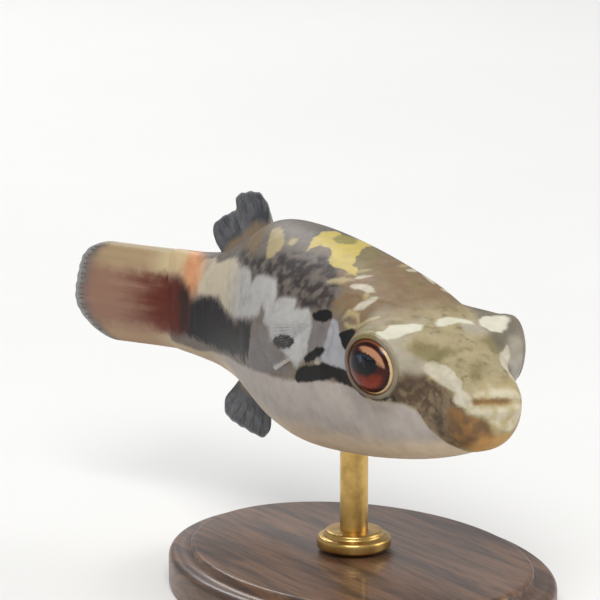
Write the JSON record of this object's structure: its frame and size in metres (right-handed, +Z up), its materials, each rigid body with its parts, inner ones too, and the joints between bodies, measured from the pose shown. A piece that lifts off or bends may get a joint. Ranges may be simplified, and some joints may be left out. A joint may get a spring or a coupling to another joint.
{
  "type": "red-eyed dwarf puffer model",
  "caption": "Life-size still model of a small freshwater pufferfish with red eyes, swimming level on a brass rod over an oval display base.",
  "frame": {"origin": "centre of the stand base's underside", "axes": "+Z up, snout towards -Y and tail towards +Y, the fish's left towards +X"},
  "size_m": [0.027, 0.0538, 0.0297],
  "materials": {
    "skin": "smooth moist skin, mottled olive, grey, yellow and white",
    "tail_web": "thin fin web, maroon at the root and grey at the rim",
    "grey_web": "thin smoky fin web with rays",
    "clear_web": "nearly clear fin web with fine rays",
    "eye": "wet red iris with a dark pupil and a pale gold ring",
    "base": "dark stained and lacquered",
    "rod": "satin"
  },
  "bodies": {
    "root": {"head": "skin", "upper_jaw": "skin", "lower_jaw": "skin", "trunk": "skin", "tail_stalk": "skin", "tail_fin": "tail_web", "dorsal_fin": "grey_web", "anal_fin": "grey_web", "pectoral_fin_left": "clear_web", "pectoral_fin_right": "clear_web", "eye_left": "eye", "eye_right": "eye", "stand_base": "base", "stand_rod": "rod", "stand_collar": "rod"}
  },
  "joints": []
}
